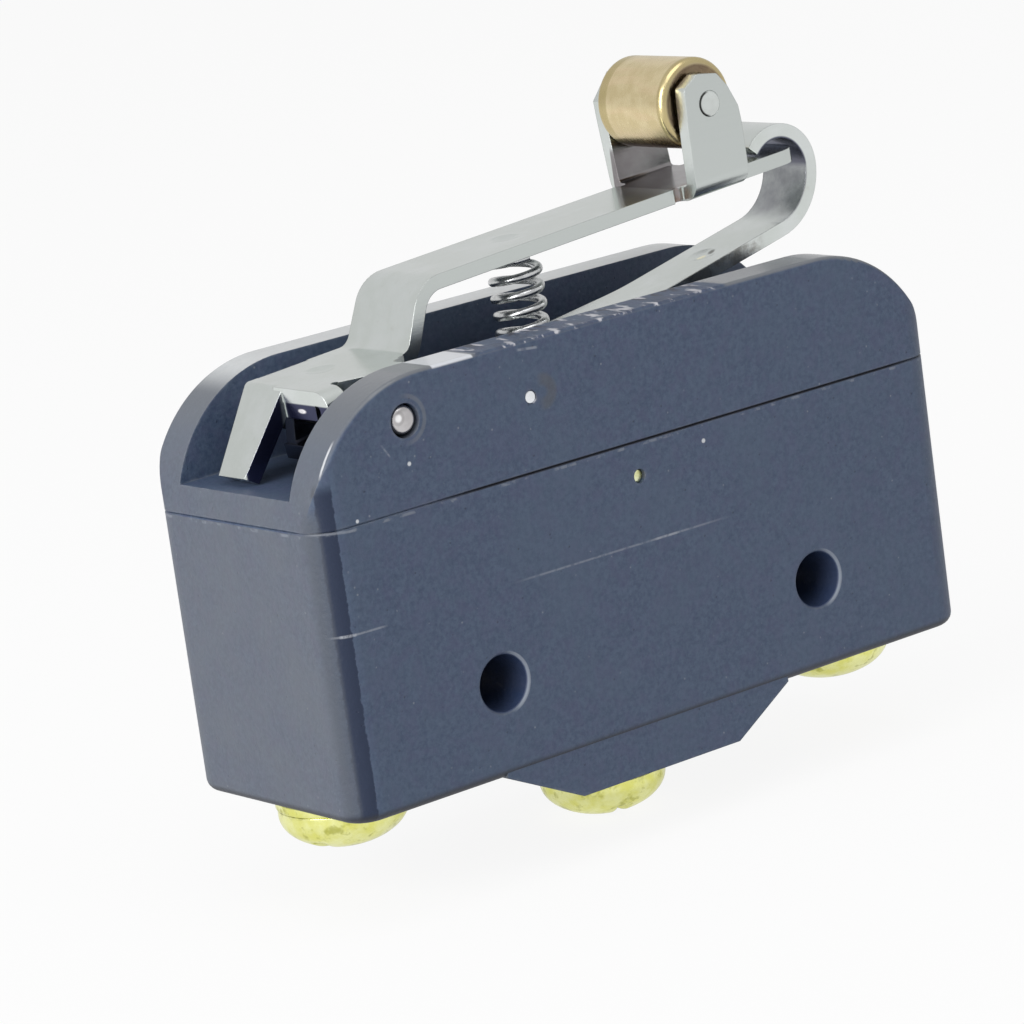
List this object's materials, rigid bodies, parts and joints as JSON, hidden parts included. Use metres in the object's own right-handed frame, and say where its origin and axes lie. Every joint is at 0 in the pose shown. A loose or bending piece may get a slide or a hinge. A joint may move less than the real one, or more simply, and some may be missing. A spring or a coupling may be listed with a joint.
{
  "type": "lever micro switch",
  "caption": "Snap-action switch in a two-part moulded body, worked by a sprung upper lever with a roller over a looped lower lever, with screw terminals below.",
  "frame": {"origin": "midway between the two mounting holes, at half the body's depth", "axes": "+X along the body towards the levers' free ends, +Y from the front face into the depth, +Z from the terminals towards the levers"},
  "size_m": [0.0492, 0.0174, 0.0463],
  "materials": {
    "moulding": "moulded grey-blue thermoset, matt, with fine scratches",
    "pin_steel": "plain turned steel",
    "pin_brass": "plain turned brass, slightly dull",
    "lever_steel": "bright spring steel strip with a slight yellow cast",
    "roller_brass": "turned brass, lightly worn",
    "spring_steel": "drawn spring wire",
    "plunger_plastic": "moulded red-brown plastic",
    "blade_metal": "thin springy copper alloy sheet",
    "contact_metal": "bright silver alloy",
    "terminal_brass": "stamped brass",
    "screw_plating": "plated steel with a yellow-green passivated cast"
  },
  "bodies": {
    "base": {"case": "moulding", "cover": "moulding", "pivot_pin": "pin_steel", "wall_stud": "pin_steel", "lock_pin": "pin_brass", "common_terminal": "terminal_brass", "open_terminal": "terminal_brass", "closed_terminal": "terminal_brass", "open_contact": "contact_metal", "closed_contact": "contact_metal", "common_screw": "screw_plating", "open_screw": "screw_plating", "closed_screw": "screw_plating", "common_washer": "screw_plating", "open_washer": "screw_plating", "closed_washer": "screw_plating"},
    "lower_lever": {"plunger_lever": "lever_steel"},
    "upper_lever": {"roller_arm": "lever_steel", "roller_pin": "pin_steel", "coil_spring": "spring_steel"},
    "roller_body": {"roller": "roller_brass"},
    "plunger_body": {"plunger": "plunger_plastic"},
    "blade_body": {"snap_spring": "blade_metal", "moving_contact": "contact_metal"}
  },
  "joints": [
    {"name": "lower_lever_hinge", "type": "hinge", "parent": "base", "child": "lower_lever", "pos_m": [-0.0172, 0, 0.01739], "axis": [0, 1, 0], "range_deg": [0, 2.28], "stiffness_Nm_per_rad": 0.2},
    {"name": "upper_lever_hinge", "type": "hinge", "parent": "lower_lever", "child": "upper_lever", "pos_m": [-0.0172, 0, 0.01739], "axis": [0, 1, 0], "range_deg": [0, 3], "stiffness_Nm_per_rad": 0.25, "deforming": ["coil_spring"]},
    {"name": "roller_spin", "type": "hinge", "parent": "upper_lever", "child": "roller_body", "pos_m": [0.01244, 0, 0.03052], "axis": [0, 1, 0], "continuous": true},
    {"name": "plunger_slide", "type": "slide", "parent": "base", "child": "plunger_body", "axis": [0, 0, -1], "range_m": [0, 0.0006]},
    {"name": "blade_hinge", "type": "hinge", "parent": "base", "child": "blade_body", "pos_m": [-0.0172, 0, 0.0076], "axis": [0, 1, 0], "range_deg": [0, 2.6]}
  ],
  "couplings": [
    {"joint": "plunger_slide", "follows": "lower_lever_hinge", "m_per_rad": 0.0128},
    {"joint": "blade_hinge", "follows": "lower_lever_hinge", "ratio": 1}
  ]
}
